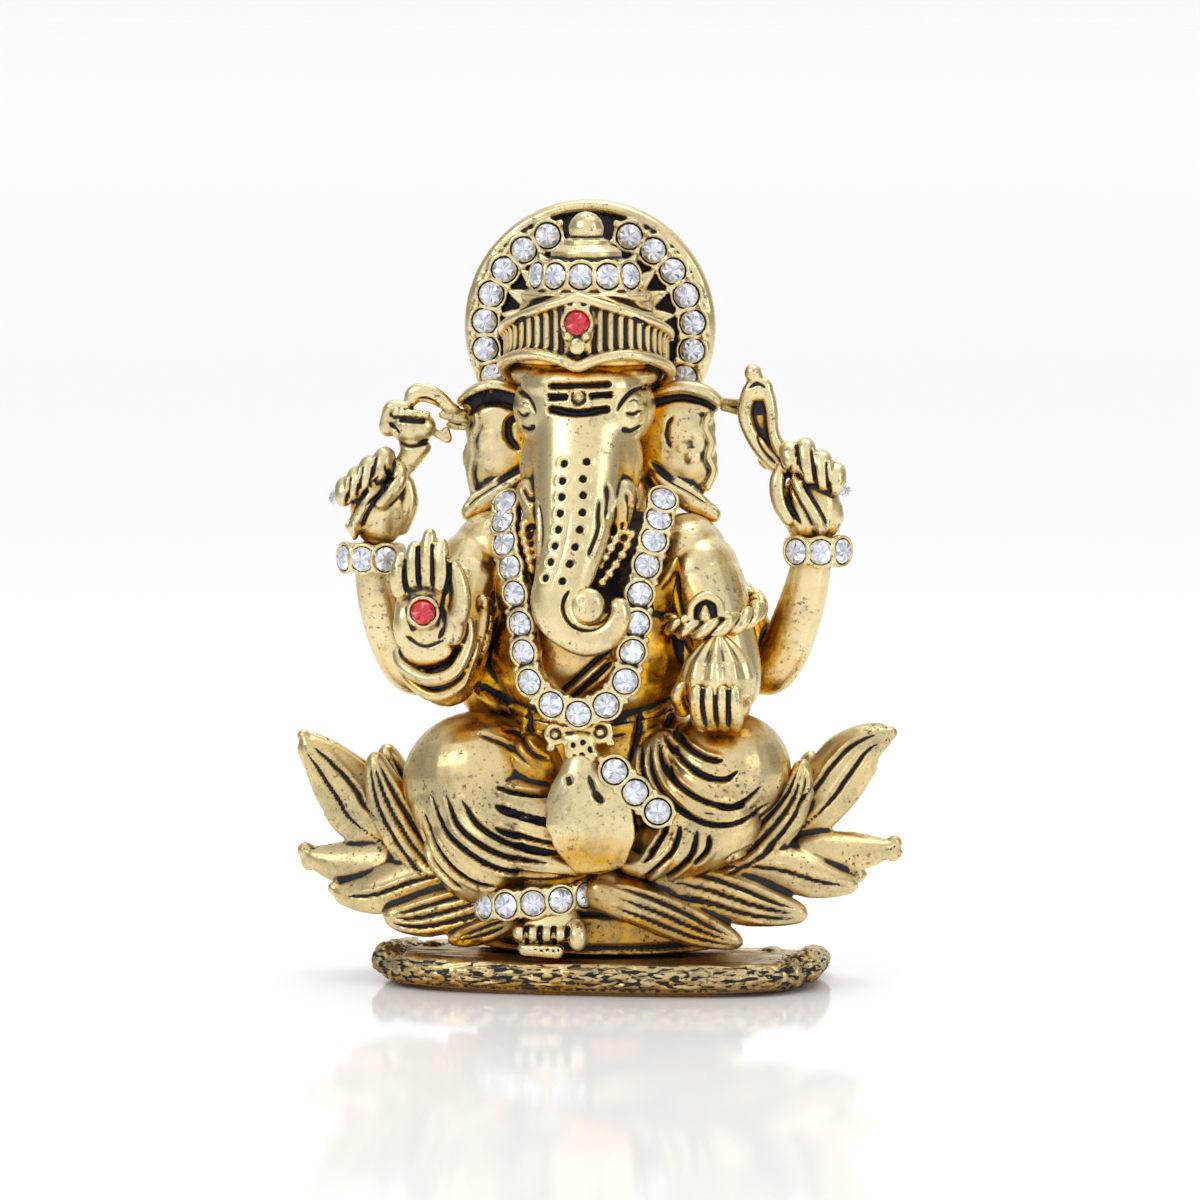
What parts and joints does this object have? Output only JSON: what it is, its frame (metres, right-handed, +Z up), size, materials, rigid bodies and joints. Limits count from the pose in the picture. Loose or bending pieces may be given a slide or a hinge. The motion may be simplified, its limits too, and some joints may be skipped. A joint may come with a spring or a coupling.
{
  "type": "ganesha idol",
  "caption": "Small seated elephant-headed deity figure on a lotus and a bark-like slab, cast in antique gold and set with clear and red glass stones.",
  "frame": {"origin": "underside of the base slab, below the middle of the lotus", "axes": "+Z up through the crown, the figure faces -Y, +X is towards the figure's left hand"},
  "size_m": [0.0628, 0.0271, 0.0798],
  "materials": {
    "antique_gold": "antique gold plate with dark patina in the recesses",
    "clear_glass": "foil-backed faceted chaton",
    "red_glass": "foil-backed faceted chaton"
  },
  "bodies": {
    "root": {"anklet": "antique_gold", "armlet": "antique_gold", "base_slab": "antique_gold", "battle_axe": "antique_gold", "belt_clasp": "antique_gold", "crown": "antique_gold", "halo": "antique_gold", "head": "antique_gold", "left_bracelet": "antique_gold", "left_ear": "antique_gold", "left_front_arm": "antique_gold", "left_leg": "antique_gold", "left_rear_arm": "antique_gold", "lotus_seat": "antique_gold", "modak": "antique_gold", "necklace": "antique_gold", "noose": "antique_gold", "right_bracelet": "antique_gold", "right_ear": "antique_gold", "right_foot": "antique_gold", "right_front_arm": "antique_gold", "right_leg": "antique_gold", "right_rear_arm": "antique_gold", "sash_apron": "antique_gold", "sash_setting": "antique_gold", "stone_anklet_01": "clear_glass", "stone_anklet_02": "clear_glass", "stone_anklet_03": "clear_glass", "stone_anklet_04": "clear_glass", "stone_anklet_05": "clear_glass", "stone_anklet_06": "clear_glass", "stone_brow_red": "red_glass", "stone_crown_01": "clear_glass", "stone_crown_02": "clear_glass", "stone_crown_03": "clear_glass", "stone_crown_04": "clear_glass", "stone_crown_05": "clear_glass", "stone_halo_01": "clear_glass", "stone_halo_02": "clear_glass", "stone_halo_03": "clear_glass", "stone_halo_04": "clear_glass", "stone_halo_05": "clear_glass", "stone_halo_06": "clear_glass", "stone_halo_07": "clear_glass", "stone_halo_08": "clear_glass", "stone_halo_09": "clear_glass", "stone_halo_10": "clear_glass", "stone_halo_11": "clear_glass", "stone_halo_12": "clear_glass", "stone_halo_13": "clear_glass", "stone_halo_14": "clear_glass", "stone_left_wrist_01": "clear_glass", "stone_left_wrist_02": "clear_glass", "stone_left_wrist_03": "clear_glass", "stone_palm_red": "red_glass", "stone_right_wrist_01": "clear_glass", "stone_right_wrist_02": "clear_glass", "stone_right_wrist_03": "clear_glass", "torso": "antique_gold", "trunk_sweet": "antique_gold"}
  },
  "joints": []
}
